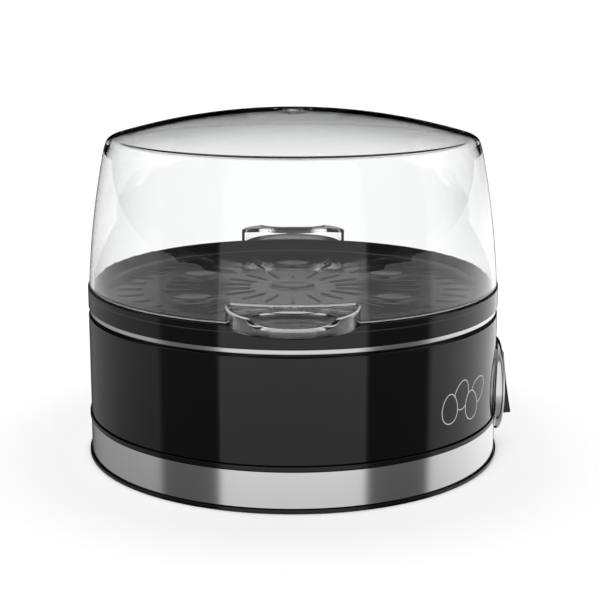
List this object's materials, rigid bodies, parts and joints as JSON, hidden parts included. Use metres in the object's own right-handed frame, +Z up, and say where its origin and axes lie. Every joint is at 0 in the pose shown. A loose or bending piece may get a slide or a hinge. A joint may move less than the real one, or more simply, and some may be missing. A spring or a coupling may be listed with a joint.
{
  "type": "electric egg cooker",
  "caption": "Round electric egg cooker with a steel water pan, a black egg tray, a clear domed lid with two finger grips, and a rocker switch in a silver bezel.",
  "frame": {"origin": "on the body's axis, on the surface that it stands on, which is the underside of the centre foot pad", "axes": "+Z up along the body's axis, -Y towards the front grip, +X towards the switch"},
  "size_m": [0.199, 0.2328, 0.1587],
  "materials": {
    "gloss_black": "high gloss",
    "black_plastic": "fine satin",
    "clear_plastic": "clear polished plastic",
    "brushed_steel": "brushed round the body",
    "polished_steel": "drawn and polished",
    "satin_silver": "satin",
    "cast_aluminium": "as cast",
    "black_rubber": "matt",
    "red_silicone": "matt",
    "white_ceramic": "unglazed",
    "brass": "plain",
    "white_sleeve": "woven sleeve"
  },
  "bodies": {
    "base": {"bottom_cover": "black_plastic", "centre_foot_pad": "black_rubber", "foot_pad_1": "black_rubber", "foot_pad_2": "black_rubber", "foot_pad_3": "black_rubber", "foot_pad_4": "black_rubber", "bottom_screw_1": "satin_silver", "bottom_screw_2": "satin_silver", "bottom_screw_3": "satin_silver", "bottom_screw_4": "satin_silver", "steel_band": "brushed_steel", "trim_ring": "black_plastic", "upper_housing": "gloss_black", "bowl_seal": "red_silicone", "heating_bowl": "polished_steel", "heater_plate": "cast_aluminium", "heating_element": "cast_aluminium", "heat_shield": "polished_steel", "shield_nut_1": "brass", "shield_nut_2": "brass", "shield_nut_3": "brass", "thermostat": "white_ceramic", "thermal_fuse": "white_sleeve", "terminal_block": "white_ceramic", "lead_supply": "white_sleeve", "lead_switch": "white_sleeve", "lead_live": "white_sleeve", "lead_neutral": "white_sleeve", "cord_gland": "black_rubber", "switch_bezel": "satin_silver", "switch_body": "black_plastic", "rocker_pin": "satin_silver", "switch_terminal_1": "brass", "switch_terminal_2": "brass"},
    "tray": {"egg_tray": "black_plastic"},
    "lid": {"lid": "clear_plastic"},
    "rocker": {"switch_rocker": "black_plastic"}
  },
  "joints": [
    {"name": "tray_lift", "type": "slide", "parent": "base", "child": "tray", "axis": [0, 0, 1], "range_m": [0, 0.1]},
    {"name": "lid_lift", "type": "slide", "parent": "tray", "child": "lid", "axis": [0, 0, 1], "range_m": [0, 0.12]},
    {"name": "rocker_tilt", "type": "hinge", "parent": "base", "child": "rocker", "pos_m": [0.089, 0, 0.0295], "axis": [0, 1, 0], "range_deg": [0, 20]}
  ]
}
